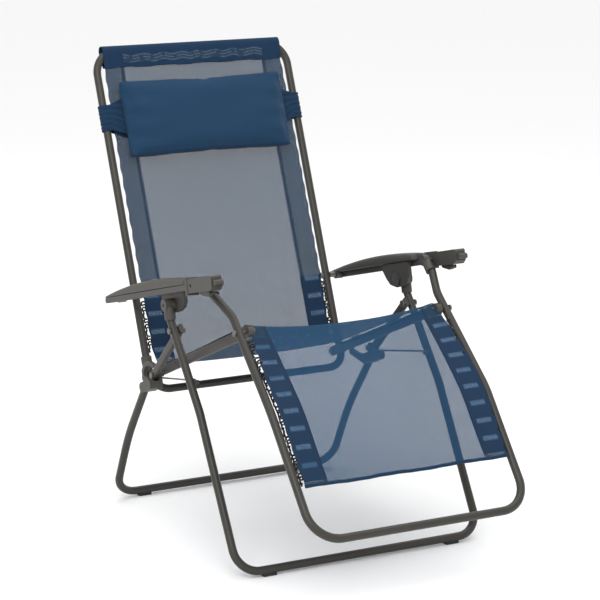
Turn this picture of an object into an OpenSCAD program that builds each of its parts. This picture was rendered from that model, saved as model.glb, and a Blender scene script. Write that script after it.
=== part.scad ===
// Zero gravity recliner: folding tube frame with a laced mesh sling.
// X is across the chair, -Y is the front (foot) side, +Z is up, millimetres.
// The origin is on the floor under the middle of the chair's bounding box.
// Side-view points are written [y, z]. Both sides of the chair are mirror images.

/* [Frame] */
// outside diameter of every frame tube
tube_d = 20; // [18:0.5:20]
// wall thickness of the frame tubes
wall = 1.2; // [1:0.1:2]
// height of the middle of the two ground bars
bar_z = 14.5; // [14:0.5:16]
// half width of the front leg loop, to the middle of its tubes
front_half = 329.4; // [328:0.2:331]
// half width of the rear leg loop at the floor
rear_half = 317; // [315:0.5:318]
// half width of the back frame
back_half = 274; // [273:0.5:275]
// half width of the leg rest frame at the foot bar
leg_half = 283; // [281:0.5:284]
// bend radius at the corners of the two ground bars
ground_bend = 58; // [50:1:70]
// bend radius at the two top corners of the back frame
top_bend = 62; // [50:1:75]
// bend radius at the two foot corners of the leg rest
foot_bend = 72; // [60:1:85]

/* [Armrests] */
// slope of the armrests in the sitting position, degrees, front end up
arm_slope = 13.6; // [13:0.2:14]
// width of the armrest pads
pad_w = 40; // [36:1:42]
// width of the bar under each pad
arm_bar_w = 22; // [20:1:23]
// height of the locking slider blocks
block_h = 36; // [34:1:38]
// length of the locking slider blocks
block_len = 142; // [120:1:150]

/* [Seat] */
// height of the flat seat rails
rail_h = 25; // [20:1:28]
// thickness of the flat oval seat rails and link bars
rail_t = 12; // [10:0.5:12]
// height of the flat oval link bars at the sides
link_h = 24; // [20:1:26]

/* [Sling] */
// thickness of the mesh panels
mesh_t = 2; // [1.5:0.25:3]
// half width of the mesh panels
mesh_half = 250; // [246:1:252]
// thickness of the head pillow
pillow_t = 62; // [45:1:75]
// height of the head pillow along the back
pillow_h = 198; // [170:2:220]
// diameter of the elastic lacing
lace_d = 3.2; // [2.6:0.2:3.6]
// number of lacing loops beside the leg panel
leg_loops = 9; // [6:1:11]

/* [Hidden] */
steel = [0.36, 0.35, 0.32];
plastic = [0.42, 0.40, 0.37];
dark = [0.13, 0.13, 0.13];
zinc = [0.62, 0.62, 0.60];
mesh_blue = [0.42, 0.49, 0.57];
cloth_blue = [0.12, 0.24, 0.40];
eps = 0.01;
pin_d = 8;
// running clearance on the radius of every pivot
run_gap = 0.06;

// pivots in the side view
arm_leg = [47, 579];
arm_back = [353, 535];
hip = [272, 352];
knee = [-222, 561];
slide_pin = [-100, 655];
link_pin = [18, 522];
bolt = [164, 378];

// corners of the tube runs in the side view
front_top = [46, 557];
front_mid = [-120, 351];
front_bar = [-314.5, bar_z];
rear_top = [194, 344];
rear_mid = [305, 190];
rear_bar = [391, bar_z];
back_low = [287, 376];
back_top = [589.5, 1122];
cross_bar = [248, 315];
kink = [-187, 592];
shin = [-397, 404];
foot = [-592.5, 165];
hem = mix(shin, foot, 0.58);

// side-view helpers
function dir2(a, b) = (b - a) / norm(b - a);
function turn(v) = [-v[1], v[0]];
function mix(a, b, t) = a + (b - a) * t;
// armrest frame: u runs to the rear along the armrest, v is square to it
arm_u = [cos(arm_slope), -sin(arm_slope)];
arm_v = [sin(arm_slope), cos(arm_slope)];
function on_arm(u, v) = arm_leg + arm_u * u + arm_v * v;
back_dir = dir2(back_low, back_top);
back_out = turn(back_dir);
shin_dir = dir2(shin, foot);
rail_dir = dir2(hip, knee);

function p3(x, p) = [x, p[0], p[1]];
function unit(v) = v / norm(v);
function bend_angle(a, b, c) = acos(max(-1, min(1, unit(b - a) * unit(c - b))));
function setback(pts, rad, i) = (i == 0 || i == len(pts) - 1) ? 0
    : rad[i] * tan(bend_angle(pts[i - 1], pts[i], pts[i + 1]) / 2);

// put a part drawn with x running down local z onto the side view
module side_plate(x0, thick) {
    translate([x0, 0, 0]) rotate([90, 0, 90]) linear_extrude(thick) children();
}
module capsule2d(a, b, r) {
    d = dir2(a, b);
    translate(a) circle(r);
    translate(b) circle(r);
    polygon([a + turn(d) * r, b + turn(d) * r, b - turn(d) * r, a - turn(d) * r]);
}
// the same round-ended bar as one solid; its flat part is a hair thinner than the ends
module capsule(x0, thick, a, b, r) {
    w = turn(dir2(a, b)) * (r - 0.05);
    side_plate(x0, thick) translate(a) circle(r, $fn = 64);
    side_plate(x0, thick) translate(b) circle(r, $fn = 64);
    side_plate(x0, thick) polygon([a + w, b + w, b - w, a - w]);
}
module pin(p, x0, x1, d) {
    translate([x0, p[0], p[1]]) rotate([0, 90, 0]) cylinder(d = d, h = x1 - x0, $fn = 48);
}
module both() {
    children();
    mirror([1, 0, 0]) children();
}
module rod(a, b, d) {
    v = b - a;
    translate(a) rotate([0, acos(v[2] / norm(v)), atan2(v[1], v[0])])
        cylinder(d = d, h = norm(v), $fn = 40);
}
// solid run through a list of corner points with a bend radius at each;
// the straights are a hair thinner and reach into the bends so the pieces join cleanly
module solid_run(pts, rad, d, past) {
    n = len(pts);
    for (i = [0 : n - 2]) {
        v = unit(pts[i + 1] - pts[i]);
        s = pts[i] + v * (setback(pts, rad, i) - (i == 0 ? past : 1.5));
        e = pts[i + 1] - v * (setback(pts, rad, i + 1) - (i == n - 2 ? past : 1.5));
        rod(s, e, d - 0.3);
    }
    for (i = [1 : n - 2]) {
        u = unit(pts[i] - pts[i - 1]);
        w = unit(pts[i + 1] - pts[i]);
        m = unit(w - u * (u * w));
        a = cross(u, m);
        c = pts[i] - u * setback(pts, rad, i) + m * rad[i];
        multmatrix([[-m[0], u[0], a[0], c[0]], [-m[1], u[1], a[1], c[1]],
                [-m[2], u[2], a[2], c[2]], [0, 0, 0, 1]])
            rotate_extrude(angle = bend_angle(pts[i - 1], pts[i], pts[i + 1]), $fn = 64)
                translate([rad[i], 0]) circle(d = d, $fn = 48);
    }
}
// hollow tube, open at both ends
module tube(pts, rad, d, hole) {
    difference() {
        solid_run(pts, rad, d, 0);
        solid_run(pts, rad, hole, 1);
    }
}
// flat oval tube between two side-view points, open at both ends
module oval2d(w, h) {
    square([w, h - w], center = true);
    translate([0, (h - w) / 2]) circle(d = w, $fn = 48);
    translate([0, (w - h) / 2]) circle(d = w, $fn = 48);
}
module oval_bar(a, b, x0, w, h, hole) {
    d = dir2(a, b);
    translate([x0 + w / 2, a[0], a[1]]) rotate([atan2(d[1], d[0]) - 90, 0, 0])
        difference() {
            linear_extrude(norm(b - a)) oval2d(w, h);
            translate([0, 0, -1]) linear_extrude(norm(b - a) + 2)
                oval2d(w - hole, h - hole);
        }
}
// thin cord through a list of points
module cord(pts, d) {
    for (i = [0 : len(pts) - 2]) {
        v = unit(pts[i + 1] - pts[i]);
        translate(pts[i] - v * d * 0.4) rotate([0, acos(v[2]), atan2(v[1], v[0])])
            rotate([0, 0, 22.5]) cylinder(d = d, h = norm(pts[i + 1] - pts[i]) + d * 0.8, $fn = 8);
    }
}

// ---- base ----
module front_leg_frame() {
    h = front_half;
    color(steel) difference() {
        tube([p3(-h, front_top), p3(-h, front_mid), p3(-h, front_bar),
            p3(h, front_bar), p3(h, front_mid), p3(h, front_top)],
            [0, 150, ground_bend, ground_bend, 150, 0], tube_d, tube_d - 2 * wall);
        both() pin(link_pin, front_half - 20, front_half + 20, pin_d + 2 * run_gap);
    }
}
module foot_pad(x, y) {
    difference() {
        translate([x - 17, y - 8, 0]) cube([34, 16, 15]);
        translate([x - 18, y, bar_z]) rotate([0, 90, 0])
            cylinder(d = tube_d + 0.3, h = 36, $fn = 48);
    }
}
module front_foot_pads() {
    color(dark) both() foot_pad(front_half - ground_bend - 22, front_bar[0]);
}
module leg_socket() {
    d = dir2(front_mid, front_top);
    difference() {
        union() {
            rod(p3(front_half, front_top - d * 16), p3(front_half, arm_leg - d * 6), 26.6);
            pin(arm_leg, front_half - 13, front_half + 13.3, 30);
        }
        rod(p3(front_half, front_top - d * 30), p3(front_half, front_top + d * 0.4),
            tube_d + 0.2);
        pin(arm_leg, front_half - 30, front_half + 30, pin_d + 2 * run_gap);
    }
}
module leg_socket_right() {
    color(plastic) leg_socket();
}
module leg_socket_left() {
    color(plastic) mirror([1, 0, 0]) leg_socket();
}
// small guides on the inner face of the front legs that the stay rods lie in
stay_eye = [-75, 419];
module stay_clips() {
    c = stay_eye;
    d = dir2([bolt[0], bolt[1] - 7], stay_eye);
    n = -turn(d);
    color(plastic) both() difference() {
        pin(c - n * 1.5, front_half - 17.8, front_half - 5, 15);
        rod(p3(front_half, mix(front_mid, front_top, 0.1)), p3(front_half, front_top),
            tube_d + 0.2);
        // channel for the rod, open upwards so that the rod can lift out when folding
        side_plate(front_half - 18.5, 8.7)
            polygon([c - d * 30 - n * 2.9, c + d * 30 - n * 2.9, c + d * 30 + n * 30,
                c - d * 30 + n * 30]);
    }
}

// ---- rear legs with their link bars ----
module rear_leg_frame() {
    t = rear_half + 3.6;
    color(steel) tube([p3(-t, rear_top), p3(-t + 1.4, rear_mid), p3(-rear_half, rear_bar),
        p3(rear_half, rear_bar), p3(t - 1.4, rear_mid), p3(t, rear_top)],
        [0, 620, ground_bend, ground_bend, 620, 0], tube_d, tube_d - 2 * wall);
}
module rear_foot_pads() {
    color(dark) both() foot_pad(rear_half - ground_bend - 22, rear_bar[0]);
}
link_x = 307;
link_dir = dir2(bolt, link_pin);
module link_bar() {
    difference() {
        union() {
            oval_bar(bolt - link_dir * 13, link_pin + link_dir * 9, link_x, rail_t, link_h, 3);
            // plug that closes the upper end
            translate([link_x + rail_t / 2, link_pin[0] + link_dir[0] * 6,
                    link_pin[1] + link_dir[1] * 6])
                rotate([atan2(link_dir[1], link_dir[0]) - 90, 0, 0])
                    linear_extrude(2.8) oval2d(rail_t - 2.6, link_h - 2.6);
        }
        pin(link_pin, link_x - 5, link_x + 20, pin_d + 2 * run_gap);
        pin(bolt, link_x - 5, link_x + 20, pin_d + 2 * run_gap);
    }
}
module link_bar_right() {
    color(steel) link_bar();
}
module link_bar_left() {
    color(steel) mirror([1, 0, 0]) link_bar();
}
// plastic housing on top of the rear leg that holds the link bar and the stay rod,
// with a thin curved arm behind the link bar
arm_arc = [[208, 344], [252, 349], [256, 366], [246, 384], [222, 394], [198, 392]];
stay_a = [302.4, bolt[0] + 2, bolt[1] - 7.6];
stay_b = [front_half - 13.6, stay_eye[0] - 9, stay_eye[1] + 1.6];
module hip_bracket() {
    t = rear_half + 3.6;
    d = dir2(rear_mid, rear_top);
    difference() {
        union() {
            side_plate(298, 35) capsule2d(rear_top - d * 3, [158, 358], 12.6, $fn = 64);
            side_plate(298, 8.6) capsule2d([158, 356], bolt, 13, $fn = 64);
            side_plate(293, 8.5) {
                for (i = [0 : 4])
                    capsule2d(arm_arc[i], arm_arc[i + 1], i == 0 ? 8 : 5.5, $fn = 48);
            }
            side_plate(293, 8.5) capsule2d(rear_top, arm_arc[0], 10, $fn = 48);
            // short stub for the seat rail, kept clear of the rail and the back frame
            pin(bolt, 288.7, 300, 12);
        }
        // socket for the rear leg tube
        rod(p3(t - 1.4, rear_mid), p3(t, rear_top + d * 0.5), tube_d + 0.3);
        // recess for the link bar
        side_plate(link_x - 0.3, rail_t + 0.6) capsule2d(bolt, link_pin, link_h / 2 + 6.4);
        // mouth for the stay rod
        rod(stay_a - unit(stay_b - stay_a) * 1.5, stay_b, 5.4);
        pin(bolt, 303, 312, pin_d + 0.4);
    }
}
module hip_bracket_right() {
    color(plastic) hip_bracket();
}
module hip_bracket_left() {
    color(plastic) mirror([1, 0, 0]) hip_bracket();
}
module stay_rods() {
    color(zinc) both() rod(stay_a, stay_b, 4.4);
}
module link_rivets() {
    color(zinc) both() {
        pin(link_pin, link_x - 2, front_half + 13, pin_d);
        pin(link_pin, link_x - 4.5, link_x - 0.4, 17);
        pin(link_pin, front_half + tube_d / 2 + 0.4, front_half + 14.5, 15);
        pin(bolt, 303.2, link_x + rail_t + 2.4, pin_d);
        pin(bolt, link_x + rail_t + 0.4, link_x + rail_t + 3.6, 15);
    }
}

// ---- armrests ----
module arm_leg_pins() {
    color(zinc) both() {
        pin(arm_leg, 303, front_half + 11, pin_d);
        // large round cap on the inner face
        pin(arm_leg, 301.4, 305.4, 34);
    }
}
bar_x = front_half - arm_bar_w / 2;
// upper and lower edge of the armrest bar, which runs a little flatter than u
function bar_top(u) = on_arm(u, 40.3 - 0.0233 * u);
function bar_low(u) = on_arm(u, 26.5 - 0.0233 * u);
module armrest_bar() {
    difference() {
        union() {
            side_plate(bar_x, arm_bar_w) {
                polygon([bar_low(-280), bar_low(338), bar_top(338), bar_top(-280)]);
                translate(on_arm(338, 25.5)) circle(6.9, $fn = 48);
                translate(on_arm(-280, 39.9)) circle(6.9, $fn = 48);
            }
            // boss for the pivot on the back frame
            pin(arm_back, 302, bar_x + 3, 24);
        }
        pin(arm_back, 290, bar_x + 13, pin_d + 2 * run_gap);
    }
}
module armrest_bar_right() {
    color(plastic) armrest_bar();
}
module armrest_bar_left() {
    color(plastic) mirror([1, 0, 0]) armrest_bar();
}
// crescent pad: a large arc over the straight bar, thin at the rear tip
module pad_profile() {
    top_r = 1750;
    top_c = on_arm(40, 64.5 - top_r);
    intersection() {
        translate(top_c) circle(top_r, $fn = 360);
        polygon([bar_top(-124) + arm_v * 0.4, bar_top(354) + arm_v * 0.4,
            on_arm(354, 90), on_arm(-124, 90)]);
    }
}
module armrest_pad() {
    difference() {
        side_plate(front_half - 27.4, pad_w) pad_profile();
        // notch beside the front end for the top of the leg rest
        side_plate(290, 24.7) polygon([on_arm(-140, 20), on_arm(-92, 20), on_arm(-92, 90), on_arm(-140, 90)]);
        pin(arm_back, 280, 360, 25);
    }
}
module armrest_pad_right() {
    color(plastic) armrest_pad();
}
module armrest_pad_left() {
    color(plastic) mirror([1, 0, 0]) armrest_pad();
}
// half-round bracket under the armrest, on the inner side of the leg socket
module cheek2d() {
    polygon([on_arm(67, 38.2), on_arm(67, 24.2), on_arm(52, 3), on_arm(35, -13), on_arm(5, -21),
        on_arm(-25, -18), on_arm(-50, -9), on_arm(-60, 4), on_arm(-60, 41)]);
}
module arm_bracket() {
    difference() {
        union() {
            side_plate(front_half - 23.6, 9.6) cheek2d();
            // upper flange that reaches the bar
            side_plate(front_half - 23.6, 12.4)
                polygon([on_arm(66, 30), on_arm(66, 38), on_arm(-59, 40.8), on_arm(-59, 32)]);
        }
        pin(arm_leg, 280, 380, pin_d + 2 * run_gap);
    }
}
module arm_bracket_right() {
    color(plastic) arm_bracket();
}
module arm_bracket_left() {
    color(plastic) mirror([1, 0, 0]) arm_bracket();
}
// locking slider that carries the leg rest and runs along the armrest bar
module slider_block() {
    u0 = -130 - block_len;
    difference() {
        union() {
            side_plate(bar_x - 3, arm_bar_w + 6) {
                polygon([on_arm(u0, 30), on_arm(u0 + 12, 22), on_arm(-134, 22), on_arm(-134, 56),
                    on_arm(u0 + 4, 58), on_arm(u0, 54)]);
            }
            side_plate(bar_x - 4, arm_bar_w + 8)
                polygon([on_arm(-144, 17), on_arm(-132, 17), on_arm(-132, 59), on_arm(-144, 59)]);
            // clamp seat on the inner face for the leg rest ear
            pin(slide_pin, 314.5, bar_x, 30);
        }
        side_plate(bar_x - 0.4, arm_bar_w + 0.8)
            polygon([bar_low(-330) - arm_v * 0.5, bar_low(20) - arm_v * 0.5,
                bar_top(20) + arm_v * 0.5, bar_top(-330) + arm_v * 0.5]);
        pin(slide_pin, 290, 345, pin_d + 2 * run_gap);
        // slot for the lock lever
        side_plate(bar_x + 4, arm_bar_w - 8)
            polygon([on_arm(-187, 10), on_arm(-242, 10), on_arm(-242, 31), on_arm(-187, 31)]);
    }
}
module slider_block_right() {
    color(plastic) slider_block();
}
module slider_block_left() {
    color(plastic) mirror([1, 0, 0]) slider_block();
}
module lock_lever() {
    pivot = on_arm(-196, 22);
    difference() {
        union() {
            capsule(bar_x + 5, arm_bar_w - 10, pivot, on_arm(-222, 16), 6);
            capsule(bar_x + 5, arm_bar_w - 10, on_arm(-222, 16), on_arm(-235, 17), 4.5);
        }
        pin(pivot, bar_x, bar_x + 40, 4.2);
    }
}
module lock_lever_right() {
    color(plastic) lock_lever();
}
module lock_lever_left() {
    color(plastic) mirror([1, 0, 0]) lock_lever();
}

// ---- back ----
module arm_back_pins() {
    color(zinc) both() {
        pin(arm_back, back_half - 15, bar_x + 12.4, pin_d);
        pin(arm_back, back_half - 17, back_half - tube_d / 2 - 0.4, 16);
        pin(arm_back, back_half + tube_d / 2 + 0.4, 301.5, 15);
    }
}
module back_frame() {
    h = back_half;
    color(steel) difference() {
        tube([p3(-h, back_low + back_dir * 2), p3(-h, back_top), p3(h, back_top),
            p3(h, back_low + back_dir * 2)],
            [0, top_bend, top_bend, 0], tube_d, tube_d - 2 * wall);
        both() pin(arm_back, back_half - 20, back_half + 20, pin_d + 2 * run_gap);
    }
}
module back_cross_tube() {
    h = back_half;
    d = dir2(cross_bar, back_low);
    color(steel) difference() {
        tube([p3(-h, back_low - d * 3), p3(-h + 1, cross_bar), p3(h - 1, cross_bar),
            p3(h, back_low - d * 3)], [0, 46, 46, 0], tube_d, tube_d - 2 * wall);
        both() pin(hip, back_half - 20, back_half + 20, pin_d + 2 * run_gap);
    }
}
module hip_collars() {
    color(plastic) both() difference() {
        rod(p3(back_half, back_low - back_dir * 4), p3(back_half, back_low + back_dir * 17), 27);
        rod(p3(back_half, back_low - back_dir * 10), p3(back_half, back_low + back_dir * 1.5),
            22.6);
        rod(p3(back_half, back_low), p3(back_half, back_low + back_dir * 30), tube_d + 0.2);
    }
}
// sleeve of cloth round the top bar with the upper edge of the mesh in it
module top_sleeve() {
    color(cloth_blue) difference() {
        capsule(-mesh_half + 8, 2 * mesh_half - 16, back_top - back_dir * 34, back_top, 13.4);
        solid_run([p3(-back_half, back_low), p3(-back_half, back_top), p3(back_half, back_top),
            p3(back_half, back_low)], [0, top_bend, top_bend, 0], tube_d + 0.9, 0);
    }
}
module back_panel() {
    a = back_top - back_dir * 62 + back_out * 0;
    b = back_low + back_dir * 26;
    n = back_out * mesh_t / 2;
    color(mesh_blue) side_plate(-mesh_half, 2 * mesh_half)
        polygon([a + n, b + n, b - n, a - n]);
}
// zigzag of elastic between a run of tube and the edge of the mesh
function zig(a, b, count, inner, outer) = [for (i = [0 : 2 * count])
    p3(i % 2 == 0 ? inner : outer, mix(a, b, i / (2 * count)))];
module back_lacing() {
    a = back_low + back_dir * 150;
    b = back_low + back_dir * 30;
    color(dark) both() cord(zig(a, b, 5, mesh_half + 3, back_half - tube_d / 2 - 3), lace_d);
}
module head_pillow() {
    c = back_low + back_dir * 620 + back_out * (pillow_t / 2 - 6);
    half = pillow_h / 2 - pillow_t / 3;
    color(cloth_blue)
        capsule(-236, 472, c - back_dir * half, c + back_dir * half, pillow_t / 3);
}
module pillow_straps() {
    low = back_low + back_dir * 580;
    high = back_low + back_dir * 680;
    color(cloth_blue) both() difference() {
        translate([239, low[0], low[1]]) rotate([atan2(back_dir[1], back_dir[0]), 0, 0])
            translate([0, 0, -13.5]) cube([48.5, norm(high - low), 27]);
        rod(p3(back_half, low - back_dir * 10), p3(back_half, high + back_dir * 10),
            tube_d + 0.4);
        translate([238, low[0], low[1]]) rotate([atan2(back_dir[1], back_dir[0]), 0, 0])
            translate([0, -5, -11.5]) cube([47, norm(high - low) + 10, 23]);
    }
}

// ---- seat ----
rail_x = 248;
module hip_pins() {
    color(zinc) both() {
        pin(hip, rail_x - 3, back_half + 13, pin_d);
        pin(hip, rail_x - 5, rail_x - 0.4, 15);
        pin(hip, back_half + tube_d / 2 + 0.4, back_half + 14, 15);
    }
}
module seat_rail() {
    difference() {
        oval_bar(hip - rail_dir * 10.5, knee + rail_dir * 13, rail_x, rail_t, rail_h, 3);
        pin(hip, rail_x - 5, rail_x + 20, pin_d + 2 * run_gap);
        pin(knee, rail_x - 5, rail_x + 20, pin_d + 2 * run_gap);
    }
}
module seat_rail_right() {
    color(steel) seat_rail();
}
module seat_rail_left() {
    color(steel) mirror([1, 0, 0]) seat_rail();
}
module knee_cap() {
    n = turn(rail_dir);
    difference() {
        capsule(rail_x - 0.6, rail_t + 2.4, knee - rail_dir * 24, knee + rail_dir * 3,
            rail_h / 2 + 1.8);
        side_plate(rail_x - 0.1, rail_t + 0.2)
            polygon([hip - n * (rail_h / 2 + 0.2), knee + rail_dir * 13.2 - n * (rail_h / 2 + 0.2),
                knee + rail_dir * 13.2 + n * (rail_h / 2 + 0.2), hip + n * (rail_h / 2 + 0.2)]);
        pin(knee, 200, 300, pin_d + 2 * run_gap);
    }
}
module knee_cap_right() {
    color(plastic) knee_cap();
}
module knee_cap_left() {
    color(plastic) mirror([1, 0, 0]) knee_cap();
}
seat_half = rail_x - 0.6;
module seat_panel() {
    n = -turn(rail_dir);
    lift = 14;
    a = hip + rail_dir * 44 + n * (lift + 2);
    m = mix(hip, knee, 0.42) + n * (lift - 9);
    b = knee - rail_dir * 44 + n * lift;
    t = mesh_t;
    color(mesh_blue) side_plate(-seat_half, 2 * seat_half)
        polygon([a, m, b, b + n * t, m + n * t, a + n * t]);
}
// black piping under the two edges of the seat mesh
module seat_edging() {
    n = -turn(rail_dir);
    a = hip + rail_dir * 52 + n * 9;
    m = mix(hip, knee, 0.42) + n * 1.5;
    b = knee - rail_dir * 48 + n * 9;
    x = seat_half - 3;
    color(dark) both() cord([p3(x, a), p3(x, m), p3(x, b)], 5);
}

// ---- leg rest ----
module knee_pins() {
    color(zinc) both() {
        pin(knee, rail_x - 5, 293, pin_d);
        pin(knee, rail_x - 7.5, rail_x - 3.3, 15);
        pin(knee, 289.9, 294, 15);
    }
}
top_x = 304;
kink_x = 278;
module leg_rest_frame() {
    h = leg_half;
    color(steel) difference() {
        tube([p3(-top_x, mix(slide_pin, kink, 0.16)), p3(-kink_x, kink), p3(-h - 2.5, shin),
            p3(-h, foot), p3(h, foot), p3(h + 2.5, shin), p3(kink_x, kink),
            p3(top_x, mix(slide_pin, kink, 0.16))],
            [0, 60, 300, foot_bend, foot_bend, 300, 60, 0], tube_d, tube_d - 2 * wall);
        both() pin(knee, kink_x - 25, kink_x + 25, pin_d + 2 * run_gap);
    }
}
module leg_rest_ears() {
    d = dir2(slide_pin, kink);
    low = mix(p3(top_x, slide_pin), p3(kink_x, kink), 0.34);
    color(plastic) both() {
        difference() {
            union() {
                pin(slide_pin, 288, 301.7, 27);
                rod(p3(top_x - 5, slide_pin + d * 2), low, 25);
            }
            rod(p3(top_x, mix(slide_pin, kink, 0.155)), p3(kink_x, kink), tube_d + 0.3);
            pin(slide_pin, 301.8, 340, 44);
        }
        pin(slide_pin, 301, 314, 12);
    }
}
module leg_panel() {
    n = -turn(shin_dir);
    a = knee + shin_dir * 30;
    t = mesh_t / 2;
    k = shin + n * 1.5;
    color(mesh_blue) side_plate(-mesh_half - 3, 2 * mesh_half + 6)
        polygon([a - n * t, k - n * t, hem - n * t, hem + n * t, k + n * t, a + n * t]);
}
module leg_hem() {
    n = -turn(shin_dir);
    a = hem + shin_dir * 0.4;
    b = hem + shin_dir * 16;
    t = 2.5;
    color(cloth_blue) side_plate(-mesh_half - 3, 2 * mesh_half + 6)
        polygon([a - n * t, b - n * t, b + n * t, a + n * t]);
}
module leg_lacing() {
    a = mix(knee, shin, 0.2);
    b = hem - shin_dir * 12;
    color(dark) both()
        cord(zig(a, b, leg_loops, mesh_half + 6, leg_half - tube_d / 2 - 6), lace_d);
}

front_leg_frame();
front_foot_pads();
leg_socket_left();
leg_socket_right();
stay_clips();
rear_leg_frame();
rear_foot_pads();
link_bar_left();
link_bar_right();
hip_bracket_left();
hip_bracket_right();
stay_rods();
link_rivets();
arm_leg_pins();
armrest_bar_left();
armrest_bar_right();
armrest_pad_left();
armrest_pad_right();
arm_bracket_left();
arm_bracket_right();
slider_block_left();
slider_block_right();
lock_lever_left();
lock_lever_right();
arm_back_pins();
back_frame();
back_cross_tube();
hip_collars();
top_sleeve();
back_panel();
back_lacing();
head_pillow();
pillow_straps();
hip_pins();
seat_rail_left();
seat_rail_right();
knee_cap_left();
knee_cap_right();
seat_panel();
seat_edging();
knee_pins();
leg_rest_frame();
leg_rest_ears();
leg_panel();
leg_hem();
leg_lacing();
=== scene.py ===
import bpy
import math
import numpy as np
from mathutils import Matrix, Vector


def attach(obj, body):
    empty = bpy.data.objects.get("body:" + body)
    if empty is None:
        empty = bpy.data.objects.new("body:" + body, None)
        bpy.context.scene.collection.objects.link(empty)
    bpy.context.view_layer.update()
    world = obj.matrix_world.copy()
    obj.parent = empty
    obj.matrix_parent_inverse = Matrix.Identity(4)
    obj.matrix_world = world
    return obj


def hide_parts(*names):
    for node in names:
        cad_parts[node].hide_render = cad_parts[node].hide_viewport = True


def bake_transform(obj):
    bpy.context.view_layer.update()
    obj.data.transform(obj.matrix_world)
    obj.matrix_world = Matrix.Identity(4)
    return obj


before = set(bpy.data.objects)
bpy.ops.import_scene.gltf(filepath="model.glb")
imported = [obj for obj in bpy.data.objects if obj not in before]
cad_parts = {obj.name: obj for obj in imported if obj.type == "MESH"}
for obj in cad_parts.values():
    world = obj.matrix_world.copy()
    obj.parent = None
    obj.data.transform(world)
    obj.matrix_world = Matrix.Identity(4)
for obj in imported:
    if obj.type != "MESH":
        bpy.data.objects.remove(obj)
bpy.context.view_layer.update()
scene = bpy.context.scene

# ---------------------------------------------------------------- side-view layout
MM = 0.001


def V2(y, z):
    """Point in the side view, given in millimetres and kept in metres."""
    return np.array([y * MM, z * MM])


BACK_LOW = V2(287, 376)
BACK_TOP = V2(589.5, 1122)
HIP = V2(272, 352)
KNEE = V2(-222, 561)
KINK = V2(-187, 592)
SHIN = V2(-397, 404)
FOOT = V2(-592.5, 165)
ARM_LEG = V2(47, 579)
# how far the armrests slope down to the rear
SLOPE = math.radians(13.6)
ARM_U = np.array([math.cos(SLOPE), -math.sin(SLOPE)])
ARM_V = np.array([math.sin(SLOPE), math.cos(SLOPE)])


def unit(v):
    return v / np.linalg.norm(v)


def turn(v):
    return np.array([-v[1], v[0]])


BACK_DIR = unit(BACK_TOP - BACK_LOW)
BACK_OUT = turn(BACK_DIR)
RAIL_DIR = unit(KNEE - HIP)
RAIL_UP = -turn(RAIL_DIR)
SHIN_DIR = unit(FOOT - SHIN)
SHIN_OUT = -turn(SHIN_DIR)


def on_arm(u, v):
    """Point u along the armrest to the rear and v square to it, in millimetres."""
    return ARM_LEG + ARM_U * u * MM + ARM_V * v * MM


def on_back(t, out=0.0):
    """Point t up the back frame and out towards the sitter, in millimetres."""
    return BACK_LOW + BACK_DIR * t * MM + BACK_OUT * out * MM


def P3(x, p):
    """Side-view point p moved to a 3-D point at x."""
    return Vector((x, float(p[0]), float(p[1])))


# ---------------------------------------------------------------- node helpers
def new_mat(name):
    m = bpy.data.materials.new(name)
    m.use_nodes = True
    nt = m.node_tree
    nt.nodes.clear()
    out = nt.nodes.new("ShaderNodeOutputMaterial")
    return m, nt, out


def node(nt, kind, **kw):
    n = nt.nodes.new(kind)
    for k, v in kw.items():
        if k == "ins":
            for key, val in v.items():
                n.inputs[key].default_value = val
        else:
            setattr(n, k, v)
    return n


def math_node(nt, op, a, b=None, clamp=False):
    n = nt.nodes.new("ShaderNodeMath")
    n.operation = op
    n.use_clamp = clamp
    for i, v in enumerate((a, b)):
        if v is None:
            continue
        if isinstance(v, (int, float)):
            n.inputs[i].default_value = v
        else:
            nt.links.new(v, n.inputs[i])
    return n.outputs[0]


def mix_color(nt, fac, a, b):
    n = nt.nodes.new("ShaderNodeMix")
    n.data_type = "RGBA"
    for sock, v in ((n.inputs[0], fac), (n.inputs[6], a), (n.inputs[7], b)):
        if isinstance(v, (int, float, tuple)):
            sock.default_value = v
        else:
            nt.links.new(v, sock)
    return n.outputs[2]


def bump(nt, height, strength, distance):
    n = nt.nodes.new("ShaderNodeBump")
    n.inputs["Strength"].default_value = strength
    n.inputs["Distance"].default_value = distance
    nt.links.new(height, n.inputs["Height"])
    return n.outputs["Normal"]


def noise(nt, vec, scale, detail=4.0, rough=0.55):
    n = nt.nodes.new("ShaderNodeTexNoise")
    n.inputs["Scale"].default_value = scale
    n.inputs["Detail"].default_value = detail
    n.inputs["Roughness"].default_value = rough
    nt.links.new(vec, n.inputs["Vector"])
    return n.outputs["Fac"]


def obj_coords(nt):
    return nt.nodes.new("ShaderNodeTexCoord").outputs["Object"]


def hard_finish(name, dark, light, rough, grain_scale, grain, metal=0.0, spec=0.5):
    """Painted or moulded surface: broad tone change, fine grain and a little wear."""
    m, nt, out = new_mat(name)
    vec = obj_coords(nt)
    broad = noise(nt, vec, 14.0, 3.0)
    fine = noise(nt, vec, grain_scale, 2.0)
    col = mix_color(nt, broad, dark, light)
    speck = math_node(nt, "GREATER_THAN", noise(nt, vec, 420.0, 1.0), 0.68)
    worn = tuple(min(1, c * 1.7) for c in light[:3]) + (1,)
    col = mix_color(nt, math_node(nt, "MULTIPLY", speck, 0.18), col, worn)
    b = node(nt, "ShaderNodeBsdfPrincipled", ins={"Metallic": metal, "IOR": 1.46})
    b.inputs["Specular IOR Level"].default_value = spec
    nt.links.new(col, b.inputs["Base Color"])
    r = math_node(nt, "ADD", math_node(nt, "MULTIPLY", broad, 0.16), rough - 0.08)
    nt.links.new(r, b.inputs["Roughness"])
    nt.links.new(bump(nt, fine, grain, 0.0006), b.inputs["Normal"])
    nt.links.new(b.outputs[0], out.inputs[0])
    return m


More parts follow.
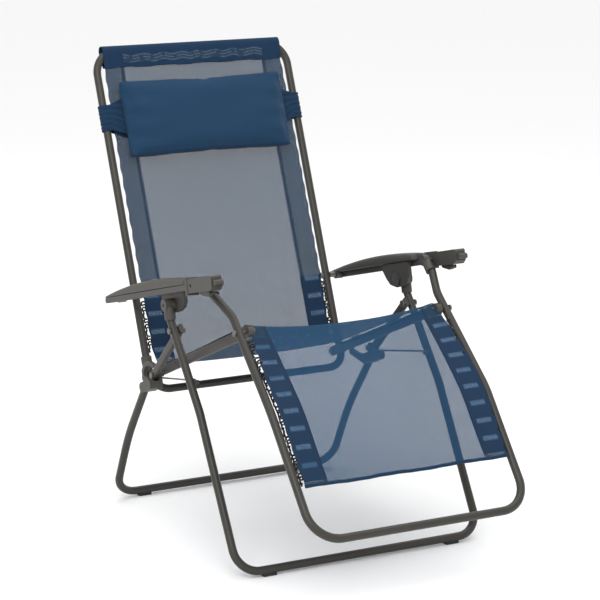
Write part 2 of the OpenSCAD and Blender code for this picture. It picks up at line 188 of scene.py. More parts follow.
# name, dark colour, light colour, roughness, grain scale, grain depth, metallic, specular level
paint = hard_finish("frame_paint", (0.030, 0.028, 0.024, 1), (0.042, 0.039, 0.034, 1),
                    0.36, 900.0, 0.14, 0.1, 0.35)
plastic = hard_finish("arm_plastic", (0.042, 0.040, 0.035, 1), (0.058, 0.055, 0.049, 1),
                      0.46, 1400.0, 0.28, 0.0, 0.35)
pad_plastic = hard_finish("pad_plastic", (0.048, 0.045, 0.040, 1), (0.064, 0.060, 0.053, 1),
                          0.50, 1400.0, 0.34, 0.0, 0.35)
rubber = hard_finish("foot_rubber", (0.012, 0.012, 0.012, 1), (0.020, 0.020, 0.020, 1), 0.75, 900.0, 0.5)
zinc = hard_finish("pin_steel", (0.11, 0.107, 0.10, 1), (0.16, 0.156, 0.146, 1), 0.36, 600.0, 0.12, 0.8)


def cloth_shader(nt, out, col, alpha, rough, normal, sheen=0.03):
    """Matt cloth; where alpha is given, it is see-through between the threads."""
    b = node(nt, "ShaderNodeBsdfPrincipled", ins={"Roughness": rough})
    b.inputs["Specular IOR Level"].default_value = 0.12
    b.inputs["Sheen Weight"].default_value = sheen
    nt.links.new(col, b.inputs["Base Color"])
    nt.links.new(normal, b.inputs["Normal"])
    if alpha is None:
        nt.links.new(b.outputs[0], out.inputs[0])
        return
    t = node(nt, "ShaderNodeBsdfTransparent")
    mx = nt.nodes.new("ShaderNodeMixShader")
    nt.links.new(alpha, mx.inputs[0])
    nt.links.new(t.outputs[0], mx.inputs[1])
    nt.links.new(b.outputs[0], mx.inputs[2])
    nt.links.new(mx.outputs[0], out.inputs[0])


def scaled_sine(nt, value, scale):
    return math_node(nt, "SINE", math_node(nt, "MULTIPLY", value, scale))


def between(nt, value, low, high):
    """1 where value lies between low and high, 0 elsewhere."""
    return math_node(nt, "MULTIPLY", math_node(nt, "GREATER_THAN", value, low),
                     math_node(nt, "LESS_THAN", value, high))


def uv_axes(nt):
    uv = nt.nodes.new("ShaderNodeUVMap")
    sep = nt.nodes.new("ShaderNodeSeparateXYZ")
    nt.links.new(uv.outputs[0], sep.inputs[0])
    return sep.outputs[0], sep.outputs[1]


def along_back(nt, vec):
    """The X coordinate and the distance up the slope of the back, from object coordinates."""
    sep = nt.nodes.new("ShaderNodeSeparateXYZ")
    nt.links.new(vec, sep.inputs[0])
    return sep.outputs[0], math_node(nt, "ADD", math_node(nt, "MULTIPLY", sep.outputs[1], float(BACK_DIR[0])),
                                     math_node(nt, "MULTIPLY", sep.outputs[2], float(BACK_DIR[1])))


# distance from thread to thread in the mesh, and the stitch length on its bands, in metres
PITCH = 0.0019
STITCH = 0.006


def weave(nt, u, v, pitch, hole):
    """1 in the open squares of the mesh, 0 where there is thread; also a height for the bump."""
    fu = math_node(nt, "FRACT", math_node(nt, "MULTIPLY", u, 1 / pitch))
    fv = math_node(nt, "FRACT", math_node(nt, "MULTIPLY", v, 1 / pitch))
    hu = math_node(nt, "GREATER_THAN", fu, 1 - hole)
    hv = math_node(nt, "GREATER_THAN", fv, 1 - hole)
    open_ = math_node(nt, "MULTIPLY", hu, hv)
    hgt = math_node(nt, "MULTIPLY", scaled_sine(nt, fu, math.pi), scaled_sine(nt, fv, math.pi))
    return open_, hgt


def sling_material(name, band_in, window_zones, leg=False, seat=False):
    """See-through mesh with doubled side bands; windows are cut in the bands where v lies in a zone."""
    m, nt, out = new_mat(name)
    u, v = uv_axes(nt)
    au = math_node(nt, "ABSOLUTE", u)
    band = math_node(nt, "GREATER_THAN", au, band_in)
    open1, hgt = weave(nt, u, v, PITCH, 0.28 if seat else 0.41)
    open2, _ = weave(nt, u, v, PITCH, 0.24)
    open3, _ = weave(nt, u, v, PITCH, 0.17)
    # windows in the band: lighter single cloth between dark plates
    zone_all = win = None
    for v0, v1, pitch in window_zones:
        zone = between(nt, v, v0, v1)
        f = math_node(nt, "FRACT", math_node(nt, "MULTIPLY", v, 1 / pitch))
        rise = math_node(nt, "MULTIPLY", math_node(nt, "SUBTRACT", f, 0.30), 11.0, clamp=True)
        fall = math_node(nt, "MULTIPLY", math_node(nt, "SUBTRACT", 0.64, f), 11.0, clamp=True)
        z = math_node(nt, "MULTIPLY", zone, math_node(nt, "MULTIPLY", rise, fall))
        win = z if win is None else math_node(nt, "MAXIMUM", win, z)
        zone_all = zone if zone_all is None else math_node(nt, "MAXIMUM", zone_all, zone)
    if win is not None:
        win = math_node(nt, "MULTIPLY", win, between(nt, au, band_in + 0.013, band_in + 0.0515))
    vec = obj_coords(nt)
    tone = noise(nt, vec, 9.0, 3.0)
    if leg:
        mesh_col = mix_color(nt, tone, (0.006, 0.039, 0.090, 1), (0.010, 0.048, 0.104, 1))
        # painted shade: the cloth is made a little darker towards the right edge, standing in for the shade
        # that falls on that side
        side = math_node(nt, "MULTIPLY", math_node(nt, "ADD", u, 0.02), 1.6, clamp=True)
        mesh_col = mix_color(nt, side, mesh_col, (0.005, 0.028, 0.066, 1))
    elif seat:
        mesh_col = mix_color(nt, tone, (0.007, 0.034, 0.076, 1), (0.012, 0.044, 0.092, 1))
    else:
        mesh_col = mix_color(nt, tone, (0.014, 0.039, 0.074, 1), (0.022, 0.049, 0.088, 1))
    band_col = mix_color(nt, tone, (0.009, 0.029, 0.058, 1), (0.013, 0.036, 0.068, 1))
    plate_col = mix_color(nt, tone, (0.007, 0.022, 0.052, 1), (0.010, 0.028, 0.062, 1))
    col = mix_color(nt, band, mesh_col, band_col)
    open_mix = nt.nodes.new("ShaderNodeMix")
    for k, sock in ((0, band), (2, open1), (3, open2)):
        nt.links.new(sock, open_mix.inputs[k])
    open_ = open_mix.outputs[0]
    if zone_all is not None:
        zb = math_node(nt, "MULTIPLY", band, zone_all)
        col = mix_color(nt, zb, col, plate_col)
        closed = math_node(nt, "SUBTRACT", 1.0, zb)
        open_ = math_node(nt, "MULTIPLY", open_, closed)
    if win is not None:
        col = mix_color(nt, win, col, (0.026, 0.068, 0.132, 1))
        open_ = math_node(nt, "MAXIMUM", open_, math_node(nt, "MULTIPLY", win, open3))
    # stitching line at the inner edge of the band
    step = math_node(nt, "FRACT", math_node(nt, "MULTIPLY", v, 1 / STITCH))
    stitch = math_node(nt, "MULTIPLY", between(nt, au, band_in + 0.002, band_in + 0.0045),
                       math_node(nt, "GREATER_THAN", step, 0.35))
    # doubled fold of cloth along the inner edge of the band
    fold = between(nt, au, band_in + 0.003, band_in + 0.011)
    col = mix_color(nt, math_node(nt, "MULTIPLY", fold, 0.6), col, (0.008, 0.024, 0.052, 1))
    fold_open = math_node(nt, "SUBTRACT", 1.0, math_node(nt, "MULTIPLY", fold, 0.7))
    open_ = math_node(nt, "MULTIPLY", open_, fold_open)
    col = mix_color(nt, stitch, col, (0.006, 0.02, 0.05, 1))
    alpha = math_node(nt, "SUBTRACT", 1.0, open_)
    cloth_shader(nt, out, col, alpha, 0.75, bump(nt, hgt, 0.35, 0.0005))
    return m


def thread_cloth(name, axes, dark, light, pitch, tone_scale, fibre_scale, fibre, glow, depth):
    """Close cloth; axes gives the two thread directions from the node tree and object coordinates."""
    m, nt, out = new_mat(name)
    vec = obj_coords(nt)
    u, v = axes(nt, vec)
    _, hgt = weave(nt, u, v, pitch, 0.2)
    col = mix_color(nt, noise(nt, vec, tone_scale, 4.0), dark, light)
    bright = tuple(c * glow for c in light[:3]) + (1,)
    col = mix_color(nt, math_node(nt, "MULTIPLY", noise(nt, vec, fibre_scale, 2.0), fibre), col, bright)
    cloth_shader(nt, out, col, None, 0.85, bump(nt, hgt, depth, 0.0004), 0.05)
    return m


def close_cloth(name, dark, light, pitch=0.0012):
    """Close cloth whose threads follow the UV map."""
    return thread_cloth(name, lambda nt, vec: uv_axes(nt), dark, light, pitch, 11.0, 700.0, 0.25, 1.5, 0.35)


def object_cloth(name, dark, light, pitch=0.0014):
    """Close cloth for a piece without a UV map: the threads run along X and up the back."""
    return thread_cloth(name, along_back, dark, light, pitch, 8.0, 600.0, 0.22, 1.4, 0.3)


def lacing_material(name):
    m, nt, out = new_mat(name)
    vec = obj_coords(nt)
    fleck = math_node(nt, "GREATER_THAN", noise(nt, vec, 260.0, 1.0), 0.69)
    col = mix_color(nt, fleck, (0.010, 0.010, 0.011, 1), (0.50, 0.50, 0.49, 1))
    cloth_shader(nt, out, col, None, 0.8, bump(nt, noise(nt, vec, 900.0, 2.0), 0.4, 0.0005), 0.1)
    return m


sleeve_cloth = close_cloth("sleeve_fabric", (0.005, 0.020, 0.050, 1), (0.008, 0.028, 0.064, 1))
pillow_cloth = object_cloth("pillow_fabric", (0.008, 0.030, 0.066, 1), (0.011, 0.038, 0.080, 1))
strap_cloth = close_cloth("strap_fabric", (0.005, 0.019, 0.044, 1), (0.009, 0.030, 0.064, 1), 0.0016)
lacing_mat = lacing_material("lacing_elastic")

# ---------------------------------------------------------------- CAD nodes that are shown as they are
SIDES = ("left", "right")
PAINTED = ["front_leg_frame", "rear_leg_frame", "back_frame", "back_cross_tube", "leg_rest_frame"]
PAINTED += [f"{part}_{side}" for part in ("seat_rail", "link_bar") for side in SIDES]
MOULDED = ["hip_collars", "leg_rest_ears", "stay_clips"]
MOULDED += [f"{part}_{side}" for part in ("leg_socket", "hip_bracket", "armrest_bar", "arm_bracket",
                                          "slider_block", "lock_lever", "knee_cap") for side in SIDES]
PINS = ["stay_rods", "link_rivets", "arm_leg_pins", "arm_back_pins", "hip_pins", "knee_pins"]
FINISH = {name: paint for name in PAINTED}
FINISH.update({name: plastic for name in MOULDED})
FINISH.update({name: zinc for name in PINS})
FINISH.update({f"armrest_pad_{side}": pad_plastic for side in SIDES})
FINISH.update({f"{end}_foot_pads": rubber for end in ("front", "rear")})
FINISH["seat_edging"] = lacing_mat
for name, mat in FINISH.items():
    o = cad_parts[name]
    o.data.materials.clear()
    o.data.materials.append(mat)


# ---------------------------------------------------------------- mesh builders
def make_object(name, verts, faces, uvs, mat):
    me = bpy.data.meshes.new(name)
    me.from_pydata([tuple(v) for v in verts], [], faces)
    if uvs is not None:
        layer = me.uv_layers.new(name="UVMap")
        for loop in me.loops:
            layer.data[loop.index].uv = uvs[loop.vertex_index]
    me.update()
    me.polygons.foreach_set("use_smooth", [True] * len(me.polygons))
    me.materials.append(mat)
    o = bpy.data.objects.new(name, me)
    scene.collection.objects.link(o)
    return o


def grid_faces(nu, nv, close_v=False):
    """Quads over nu rows of nv points; close_v joins the last point of each row to its first."""
    f = []
    for i in range(nu - 1):
        for j in range(nv if close_v else nv - 1):
            a, b = i * nv + j, (i + 1) * nv + j
            c, d = (i + 1) * nv + (j + 1) % nv, i * nv + (j + 1) % nv
            f.append((a, b, c, d))
    return f


def spline(points, step):
    """Catmull-Rom through rows of numbers, then resampled at an even step along the first two."""
    p = np.array(points, float)
    p = np.vstack([2 * p[0] - p[1], p, 2 * p[-1] - p[-2]])
    out = []
    for i in range(1, len(p) - 2):
        for t in np.linspace(0, 1, 24, endpoint=False):
            a, b, c, d = p[i - 1], p[i], p[i + 1], p[i + 2]
            out.append(0.5 * (2 * b + (c - a) * t + (2 * a - 5 * b + 4 * c - d) * t * t
                              + (3 * b - a - 3 * c + d) * t ** 3))
    out.append(p[-2])
    out = np.array(out)
    s = np.concatenate([[0], np.cumsum(np.linalg.norm(np.diff(out[:, :2], axis=0), axis=1))])
    n = max(2, int(round(s[-1] / step)))
    q = np.linspace(0, s[-1], n + 1)
    return np.array([np.interp(q, s, out[:, k]) for k in range(out.shape[1])]).T, q


# ---------------------------------------------------------------- the sling
# how far down the shin of the leg rest the hem sits
HEM_T = 0.58
hem_mid = SHIN + (FOOT - SHIN) * HEM_T
SLING_STEP = 0.0065
# points where the cloth passes over the hip and over the crest of the leg rest
HIP_BEND = V2(268, 378)
CREST = V2(-214, 574)


def row(p, half, sag):
    """One row of the sling: y and z in metres, half width and sag at the middle in millimetres."""
    return [p[0], p[1], half * MM, sag * MM]


path = [
    row(on_back(788, 6), 252, 1), row(on_back(740, 4), 254, 5), row(on_back(640, 4), 255, 9),
    row(on_back(500, 4), 256, 12), row(on_back(340, 4), 256, 13), row(on_back(190, 4), 256, 12),
    row(on_back(90, 3), 255, 10), row(on_back(30, 2), 254, 8),
    row(V2(283.5, 386.5), 252, 6), row(V2(262, 376.5), 250, 6),
    row(HIP + RAIL_DIR * 0.062 + RAIL_UP * 0.0165, 249, 10),
    row(HIP + RAIL_DIR * 0.16 + RAIL_UP * 0.0155, 249, 20),
    row(HIP + RAIL_DIR * 0.30 + RAIL_UP * 0.0155, 250, 25),
    row(HIP + RAIL_DIR * 0.43 + RAIL_UP * 0.0165, 252, 24),
    row(KNEE - RAIL_DIR * 0.050 + RAIL_UP * 0.0150, 251, 22),
    row(CREST, 252, 20),
    row(KNEE + SHIN_DIR * 0.030 + SHIN_OUT * 0.0125, 258, 15),
    row(SHIN - unit(SHIN - KINK) * 0.10 + SHIN_OUT * 0.013, 270, 10),
    row(SHIN + SHIN_OUT * 0.013, 272, 9),
    row(SHIN + SHIN_DIR * 0.09 + SHIN_OUT * 0.013, 271, 7),
    row(hem_mid + SHIN_DIR * 0.004 + SHIN_OUT * 0.012, 269, 3),
]
sling, dist = spline(path, SLING_STEP)
tang = np.gradient(sling[:, :2], axis=0)
tang /= np.linalg.norm(tang, axis=1)[:, None]
normals = np.stack([tang[:, 1], -tang[:, 0]], axis=1)  # towards the sitter
LENGTH = dist[-1]


def nearest(p):
    return int(np.argmin(np.linalg.norm(sling[:, :2] - p, axis=1)))


i_hip = nearest(HIP_BEND)
i_seat = nearest(HIP + RAIL_DIR * 0.27 + RAIL_UP * 0.0155)
i_knee = nearest(CREST)
# distances down the cloth from the top bar
v_low = dist[nearest(on_back(165, 4))]
v_hip = dist[i_hip]
v_knee = dist[i_knee]

# each window zone: start, end and pitch down the cloth
sling_mat = sling_material("mesh_fabric", 0.197, [(v_low - 0.012, v_hip - 0.02, 0.046)])
seat_mat = sling_material("mesh_fabric_seat", 0.197, [], seat=True)
leg_mat = sling_material("mesh_fabric_leg", 0.208, [(v_knee + 0.040, LENGTH - 0.014, 0.0455)], leg=True)


# points across the sling, the sag's falloff towards the side edges, and the lacing's pitch
NX = 65
SAG_POWER = 2.2
LACE_PULL = 0.046


def sling_piece(name, i0, i1, mat=sling_mat):
    verts, uvs = [], []
    for i in range(i0, i1 + 1):
        y, z, half, sag = sling[i]
        for k in range(NX):
            x = -1 + 2 * k / (NX - 1)
            # the side edges pull in a little between the lacing points
            pull = 0.0012 * math.sin(dist[i] * 2 * math.pi / LACE_PULL) * abs(x) ** 8
            s = sag * (1 - abs(x) ** SAG_POWER)
            ripple = 0.0006 * math.sin(41 * x * half / 0.25 + 9 * dist[i]) * abs(x) ** 3
            d = ripple - s
            verts.append((x * (half + pull), y + normals[i, 0] * d, z + normals[i, 1] * d))
            uvs.append((x * half, dist[i]))
    o = make_object(name, verts, grid_faces(i1 - i0 + 1, NX), uvs, mat)
    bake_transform(o)
    return o


sling_back = sling_piece("sling_back", 0, i_hip)
sling_seat_rear = sling_piece("sling_seat_rear", i_hip, i_seat,
                              seat_mat)
sling_piece("sling_seat_front", i_seat, i_knee,
            seat_mat)
sling_leg = sling_piece("sling_leg", i_knee, len(sling) - 1,
                        leg_mat)
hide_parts("back_panel")
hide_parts("seat_panel")
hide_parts("leg_panel")


# ---------------------------------------------------------------- hem at the foot of the sling
def hem_strip():
    verts, uvs = [], []
    # outline of the rolled edge: along the leg rest, square to it
    prof = [(-0.003, 0.0016), (0.001, 0.0022), (0.004, 0.0017), (0.0052, 0.0),
            (0.004, -0.0017), (0.001, -0.0021), (-0.003, -0.0016)]
    half = 0.269
    centre = hem_mid + SHIN_OUT * 0.012
    for k in range(NX):
        x = -1 + 2 * k / (NX - 1)
        sag = 0.003 * (1 - abs(x) ** SAG_POWER)
        wave = 0.0009 * math.sin(9 * x) + 0.0003 * math.sin(31 * x + 1)
        for a, h in prof:
            p = centre + SHIN_DIR * (a + wave) + SHIN_OUT * (h - sag)
            verts.append((x * half, p[0], p[1]))
            uvs.append((x * half, a))
    o = make_object("sling_hem", verts, grid_faces(NX, len(prof), close_v=True), uvs, sleeve_cloth)
    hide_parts("leg_hem")
    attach(o, "leg_rest")


hem_strip()


# ---------------------------------------------------------------- sleeve round the top bar
# wave of the gathering along X: amplitude, wavelength, and a slow drift of its phase
WAVE = 0.0022
WAVE_PITCH = 0.052
DRIFT = (23.0, 0.8)


def gathered_material():
    """Close cloth with a paler strip and three faint wavy rows below the top bar."""
    m, nt, out = new_mat("sleeve_gathered")
    vec = obj_coords(nt)
    u, _ = uv_axes(nt)
    # distance below the bar along the back
    _, along = along_back(nt, vec)
    below = math_node(nt, "SUBTRACT", float(BACK_TOP @ BACK_DIR), along)
    _, hgt = weave(nt, u, below, 0.0013, 0.2)
    col = mix_color(nt, noise(nt, vec, 11.0, 4.0), (0.005, 0.020, 0.050, 1), (0.008, 0.028, 0.064, 1))
    inner = math_node(nt, "LESS_THAN", math_node(nt, "ABSOLUTE", u), 0.200)
    phase = math_node(nt, "ADD", math_node(nt, "MULTIPLY", u, 2 * math.pi / WAVE_PITCH),
                      math_node(nt, "MULTIPLY", scaled_sine(nt, u, DRIFT[0]), DRIFT[1]))
    wave = math_node(nt, "MULTIPLY", math_node(nt, "SINE", phase), WAVE)
    wavy = math_node(nt, "ADD", below, wave)

    def near(centre, half):
        off = math_node(nt, "ABSOLUTE", math_node(nt, "SUBTRACT", wavy, centre))
        return math_node(nt, "LESS_THAN", off, half)

    lines = None
    for centre, half in ((0.0165, 0.0014), (0.0235, 0.0016), (0.0305, 0.0014)):
        line = near(centre, half)
        lines = line if lines is None else math_node(nt, "MAXIMUM", lines, line)
    patch = math_node(nt, "GREATER_THAN", noise(nt, vec, 55.0, 2.0), 0.44)
    strip = math_node(nt, "MULTIPLY", near(0.0238, 0.0110), inner)
    lines = math_node(nt, "MULTIPLY", math_node(nt, "MULTIPLY", lines, inner), patch)
    col = mix_color(nt, math_node(nt, "MULTIPLY", strip, 0.5), col, (0.022, 0.042, 0.072, 1))
    col = mix_color(nt, math_node(nt, "MULTIPLY", lines, 0.6), col, (0.075, 0.105, 0.145, 1))
    cloth_shader(nt, out, col, None, 0.8, bump(nt, hgt, 0.35, 0.0004), 0.05)
    return m


def thicken(o, thickness):
    sol = o.modifiers.new("thick", "SOLIDIFY")
    sol.thickness = thickness
    sol.offset = 0


def top_sleeve():
    half = 0.254
    nx = 170
    r = 0.013
    # outline: distance up the back from the bar, distance out from it, and whether the row is on the front
    prof = [(-0.046 + 0.046 * t, 0.0065 + 0.0065 * min(1, t * 1.15), True) for t in np.linspace(0, 1, 30)]
    for a in np.linspace(10, 170, 12):
        prof.append((r * math.sin(math.radians(a)), r * math.cos(math.radians(a)), False))
    prof += [(-0.042 * t, -r + 0.009 * t, False) for t in np.linspace(0, 1, 16)]
    verts, uvs = [], []
    for k in range(nx):
        x = -1 + 2 * k / (nx - 1)
        wide = x * half
        inner = 1.0 if abs(x) < 0.79 else max(0.0, 1 - (abs(x) - 0.79) / 0.03)
        for j, (a, h, front) in enumerate(prof):
            out = 0.0
            slip = 0.0
            if front:
                # the gathered strip ripples between its rows of stitching
                band = math.exp(-((a + 0.024) / 0.012) ** 4)
                g = (math.sin(wide * 2 * math.pi / 0.034 + 1.1 * math.sin(wide * 31))
                     + 0.5 * math.sin(wide * 2 * math.pi / 0.013 + 7 * a * 60))
                out = 0.0011 * g * band * inner
                phase = wide * 2 * math.pi / WAVE_PITCH + DRIFT[1] * math.sin(wide * DRIFT[0])
                slip = WAVE * math.sin(phase) * band * inner
            if a < -0.038:
                slip += 0.0012 * math.sin(x * 14)
            p = BACK_TOP + BACK_DIR * (a + slip) + BACK_OUT * (h + out)
            verts.append((wide, p[0], p[1]))
            uvs.append((wide, j * 0.0042))
    o = make_object("top_sleeve_cloth", verts, grid_faces(nx, len(prof)), uvs, gathered_material())
    thicken(o, 0.0012)
    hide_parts("top_sleeve")
    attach(o, "back")


top_sleeve()


# ---------------------------------------------------------------- cords and laces
def capped_faces(rows, ring):
    """Faces of a closed tube of rows, each a ring of points, with both ends shut."""
    faces = grid_faces(rows, ring, close_v=True)
    faces.append(tuple(range(ring)))
    faces.append(tuple(reversed(range((rows - 1) * ring, rows * ring))))
    return faces


def sweep(name, pts, radius, sides=8):
    """Round cord through a list of 3-D points, as a plain mesh."""
    p = np.array(pts, float)
    t = np.gradient(p, axis=0)
    t /= np.maximum(np.linalg.norm(t, axis=1), 1e-9)[:, None]
    n = np.cross(t[0], np.array([0.0, 0.3, 1.0]))
    n /= np.linalg.norm(n)
    verts = []
    for i in range(len(p)):
        n = n - t[i] * (n @ t[i])
        n /= np.linalg.norm(n)
        b = np.cross(t[i], n)
        for k in range(sides):
            a = 2 * math.pi * k / sides
            verts.append(tuple(p[i] + radius * (math.cos(a) * n + math.sin(a) * b)))
    return make_object(name, verts, capped_faces(len(p), sides), None, lacing_mat)


# elastic: radius of the zigzag, radius of the straight run, spacing of the loops, points per loop
LACE_R = 0.0021
EDGE_R = 0.0020
LACE_STEP = 0.015
LOOP = 12


def lace_points(side, a, b, x_in, x_out, out_in, out_out, normal):
    """Elastic that runs from eyelet to tube and back, as a flattened zigzag with small loops."""
    length = np.linalg.norm(b - a)
    pts = []
    steps = int(round(length / LACE_STEP)) * LOOP
    d = unit(b - a)
    for i in range(steps + 1):
        loop, part = divmod(i, LOOP)
        ph = 2 * math.pi * i / LOOP
        c = a + d * (length * i / steps + 0.18 * LACE_STEP * math.sin(2 * ph))
        w = 0.5 - 0.5 * math.cos(ph)
        if loop % 3 == 2:
            # every third loop stays against the tube and leaves an open gap
            w = 1.0 - 0.18 * (1 - w)
        elif w < 0.5 and loop % 3 == 0 and part < LOOP / 2 and i > LOOP:
            w = max(w, 1.0 - part / 3)
        elif w < 0.5 and loop % 3 == 1 and part > LOOP / 2:
            w = max(w, 1.0 - (LOOP - part) / 3)
        x = x_in + (x_out - x_in) * w
        o = out_in + (out_out - out_in) * w + 0.0030 * math.sin(ph)
        q = c + normal * o
        pts.append((side * x, q[0], q[1]))
    return pts


def join(objs, name):
    bpy.ops.object.select_all(action="DESELECT")
    for o in objs:
        o.select_set(True)
    bpy.context.view_layer.objects.active = objs[0]
    bpy.ops.object.join()
    objs[0].name = name
    objs[0].data.name = name
    return objs[0]


def edge_run(side, x, a, b, end):
    """Straight run of elastic beside the edge of the cloth."""
    return [(side * x, *(a + (b - a) * t + SHIN_OUT * 0.004)) for t in np.linspace(0, end, 24)]


thigh = KNEE + unit(SHIN - KINK) * 0.028
laces = []
for side in (-1, 1):
    upper = lace_points(side, thigh, SHIN + SHIN_DIR * 0.004, 0.2610, 0.2700, 0.0115, 0.002, SHIN_OUT)
    lower = lace_points(side, SHIN + SHIN_DIR * 0.006, hem_mid - SHIN_DIR * 0.006,
                        0.2675, 0.2722, 0.0115, 0.002, SHIN_OUT)
    laces.append(sweep(f"l{side}", upper, LACE_R))
    laces.append(sweep(f"m{side}", lower, LACE_R))
    laces.append(sweep(f"n{side}", edge_run(side, 0.2712, thigh, SHIN, 1), EDGE_R))
    laces.append(sweep(f"o{side}", edge_run(side, 0.2722, SHIN, hem_mid, 0.98), EDGE_R))
leg_lace = join(laces, "leg_lacing_cord")
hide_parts("leg_lacing")
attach(leg_lace, "leg_rest")
laces = []
for side in (-1, 1):
    low = lace_points(side, on_back(158), on_back(26), 0.2535, 0.2615, 0.004, 0.0, BACK_OUT)
    laces.append(sweep(f"b{side}", low, LACE_R))
back_lace = join(laces, "back_lacing_cord")
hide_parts("back_lacing")
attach(back_lace, "back")


# ---------------------------------------------------------------- crescent pads on the armrests
# front and rear end of a pad along the armrest, its half width, the radius of its top, and where the
# notch for the top of the leg rest ends; millimetres
PAD_FRONT = -124
PAD_REAR = 353
PAD_HALF = 19.8
PAD_TOP_R = 1750
NOTCH_END = -92
# how far each pad's middle is from the middle of the chair, in metres
PAD_X = 0.322


def arm_pad(side):
    # close rows at both ends and at the notch
    us = np.concatenate([np.linspace(PAD_FRONT, -114, 7), [-106, -98, -93.5, -92.5, -91, -89, -86, -82],
                         np.linspace(-74, 336, 42), np.linspace(340, PAD_REAR, 8)])
    ring = 28
    verts = []
    for u in us:
        base = 40.7 - 0.0233 * u
        top = 64.2 - (PAD_TOP_R - math.sqrt(PAD_TOP_R ** 2 - (u - 40) ** 2))
        near = min(u - PAD_FRONT, PAD_REAR - u)
        end = math.sqrt(max(0.0, 1 - (1 - min(1.0, near / 10)) ** 2))
        hgt = max(0.6, (top - base) * (0.35 + 0.65 * end))
        half = PAD_HALF * (0.80 + 0.20 * end) * (1.0 if u < 250 else 1 - 0.16 * ((u - 250) / 103) ** 2)
        for k in range(ring):
            a = 2 * math.pi * k / ring
            c, d = math.cos(a), math.sin(a)
            x = half * math.copysign(abs(c) ** 0.45, c)
            if c < 0:
                # notch on the inner side where the top of the leg rest passes
                x *= 0.35 + 0.65 * min(1.0, max(0.0, (u - NOTCH_END) / 4))
            if d >= 0:
                v = base + hgt * (0.30 + 0.70 * d ** 0.75)
            else:
                v = base + hgt * 0.30 * (1 - abs(d) ** 0.35)
            p = on_arm(u, v)
            verts.append((side * (PAD_X + x * MM), p[0], p[1]))
    name = "arm_pad_" + ("right" if side > 0 else "left")
    o = make_object(name, verts, capped_faces(len(us), ring), None, pad_plastic)
    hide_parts("armrest_pad_" + ("right" if side > 0 else "left"))
    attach(o, "armrests")


arm_pad(-1)
arm_pad(1)


# ---------------------------------------------------------------- head pillow, blown up by a cloth simulation
FRAMES = 16


def inflate(o):
    """Blow the cushion up with a short cloth simulation and keep the result."""
    cl = o.modifiers.new("cloth", "CLOTH")
    st = cl.settings
    st.quality = 6
    st.mass = 0.3
    st.tension_stiffness = 30
    st.compression_stiffness = 30
    st.shear_stiffness = 8
    st.bending_stiffness = 1.2
    st.use_pressure = True
    st.uniform_pressure_force = 2.6
    st.effector_weights.gravity = 0.0
    cl.point_cache.frame_start = 1
    cl.point_cache.frame_end = FRAMES
    for f in range(1, FRAMES + 1):
        scene.frame_set(f)
    bpy.context.view_layer.objects.active = o
    bpy.ops.object.modifier_apply(modifier="cloth")
    scene.frame_set(1)


def clamp(value, low, high):
    return max(low, min(high, value))


def pillow():
    half_x, half_h, thick = 0.229, 0.099, 0.016
    # limits of the cushion: sideways, up the back, forward and backward
    max_x, max_h, max_front, max_rear = 0.236, 0.103, 0.050, 0.0135
    centre = P3(0, on_back(620, 20))
    bpy.ops.mesh.primitive_cube_add(size=1)
    o = bpy.context.object
    o.name = "head_pillow_cloth"
    rot = Matrix(((1, 0, 0), (0, BACK_OUT[0], BACK_DIR[0]), (0, BACK_OUT[1], BACK_DIR[1])))
    for v in o.data.vertices:
        local = Vector((v.co.x * 2 * half_x, v.co.y * 2 * thick, v.co.z * 2 * half_h))
        v.co = rot @ local + centre
    rm = o.modifiers.new("remesh", "REMESH")
    rm.mode = "VOXEL"
    rm.voxel_size = 0.0055
    bpy.context.view_layer.objects.active = o
    bpy.ops.object.modifier_apply(modifier="remesh")
    inflate(o)
    # keep the cushion inside its own space
    inv = rot.inverted()
    for v in o.data.vertices:
        q = inv @ (v.co - centre)
        q.x = clamp(q.x, -max_x, max_x)
        limit = max_front if q.y > 0 else max_rear
        q.y = limit * math.tanh(q.y / limit)
        q.z = clamp(q.z, -max_h, max_h)
        # a flat seam allowance at each end, with soft creases running in from it
        q.y = q.y * (1 - 0.35 * clamp((abs(q.x) - 0.204) / 0.030, 0.0, 1.0))
        crease = clamp((abs(q.x) - 0.120) / 0.10, 0.0, 1.0)
        if q.y > 0:
            q.y += 0.0022 * crease * math.sin(q.z * 120 + 9 * q.x) * min(1.0, q.y / 0.02)
        v.co = rot @ q + centre
    o.data.polygons.foreach_set("use_smooth", [True] * len(o.data.polygons))
    o.data.materials.append(pillow_cloth)
    sub = o.modifiers.new("smooth", "SUBSURF")
    sub.levels = 1
    sub.render_levels = 1
    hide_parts("head_pillow")
    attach(o, "pillow")


pillow()


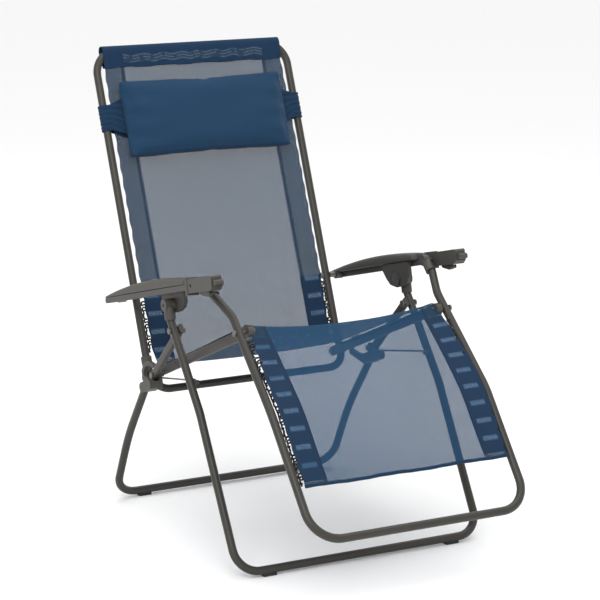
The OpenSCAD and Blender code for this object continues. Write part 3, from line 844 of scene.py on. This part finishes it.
# ---------------------------------------------------------------- gathered side straps of the pillow
def strap(side):
    # how far up the back the strap starts and ends
    low, high = 0.580, 0.680
    mid = (low + high) / 2
    tube_x, edge_x = 0.274, 0.262
    r = 0.0125
    # outline: x, out from the back, and 1 at the pillow to 0 at the tube
    prof = [(0.218 + (edge_x - 0.218) * t, 0.016 - 0.003 * t, 1 - t) for t in np.linspace(0, 1, 12)]
    for a in np.linspace(90, -90, 16):
        prof.append((tube_x + r * math.cos(math.radians(a)), r * math.sin(math.radians(a)), 0.0))
    prof += [(edge_x - 0.050 * t, -r - 0.004 * t, t) for t in np.linspace(0, 1, 10)]
    nv = 44
    verts, uvs = [], []
    for x, h, g in prof:
        length = (high - low) * (1 - 0.34 * (1 - g))
        for k in range(nv):
            s = k / (nv - 1)
            # gathers that flatten towards the tube
            fold = 0.0024 * math.sin(s * 31 + 2.1 * side + 6 * g) + 0.0014 * math.sin(s * 67 + x * 240)
            fold *= 0.35 + 0.65 * g
            p = (BACK_LOW + BACK_DIR * (mid + (s - 0.5) * length)
                 + BACK_OUT * (h + fold * (1 if h >= 0 else -1)))
            verts.append((side * (x + 0.0005 * math.sin(s * 47)), p[0], p[1]))
            uvs.append((x, s * length))
    name = "pillow_strap_" + ("right" if side > 0 else "left")
    o = make_object(name, verts, grid_faces(len(prof), nv), uvs, strap_cloth)
    thicken(o, 0.0014)
    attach(o, "pillow")
    return o


straps = [strap(-1), strap(1)]
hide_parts("pillow_straps")


# ---------------------------------------------------------------- floor, light, camera
def stage_floor():
    half = 14
    me = bpy.data.meshes.new("floor")
    corners = [(-half, -half, 0), (half, -half, 0), (half, half, 0), (-half, half, 0)]
    me.from_pydata(corners, [], [(0, 1, 2, 3)])
    o = bpy.data.objects.new("floor", me)
    scene.collection.objects.link(o)
    m, nt, out = new_mat("floor_paper")
    b = node(nt, "ShaderNodeBsdfPrincipled", ins={"Roughness": 0.9})
    b.inputs["Base Color"].default_value = (0.93, 0.93, 0.93, 1)
    b.inputs["Specular IOR Level"].default_value = 0.1
    nt.links.new(b.outputs[0], out.inputs[0])
    me.materials.append(m)


stage_floor()
world = bpy.data.worlds.new("studio")
scene.world = world
world.use_nodes = True
bg = world.node_tree.nodes["Background"]
bg.inputs[0].default_value = (1.0, 1.0, 1.0, 1)
bg.inputs[1].default_value = 1.0


def area(name, loc, target, size, power):
    lamp = bpy.data.lights.new(name, "AREA")
    lamp.shape = "RECTANGLE"
    lamp.size, lamp.size_y = size
    lamp.energy = power
    o = bpy.data.objects.new(name, lamp)
    scene.collection.objects.link(o)
    o.location = loc
    o.rotation_euler = (Vector(target) - Vector(loc)).to_track_quat("-Z", "Y").to_euler()


area("key", (-2.2, -2.6, 3.4), (0, 0, 0.5), (2.6, 2.6), 90)
area("top", (0.6, 0.3, 4.0), (0, 0, 0.5), (3.5, 3.5), 60)
scene.view_settings.view_transform = "Standard"

cam_data = bpy.data.cameras.new("camera")
cam = bpy.data.objects.new("camera", cam_data)
scene.collection.objects.link(cam)
AZ, EL, ROLL = math.radians(-28.9), math.radians(12.557), math.radians(0.283)
CAM_AT = Vector((-2.7262, -4.9433, 1.8236))
forward = -Vector((math.sin(AZ) * math.cos(EL), -math.cos(AZ) * math.cos(EL), math.sin(EL)))
level = forward.cross(Vector((0, 0, 1))).normalized()
upright = level.cross(forward)
cam_right = math.cos(ROLL) * level + math.sin(ROLL) * upright
cam_up = -math.sin(ROLL) * level + math.cos(ROLL) * upright
turned = Matrix((cam_right, cam_up, -forward)).transposed()
cam.matrix_world = Matrix.Translation(CAM_AT) @ turned.to_4x4()
cam_data.sensor_width = 36
cam_data.lens = 142.75
cam_data.clip_end = 100
scene.camera = cam
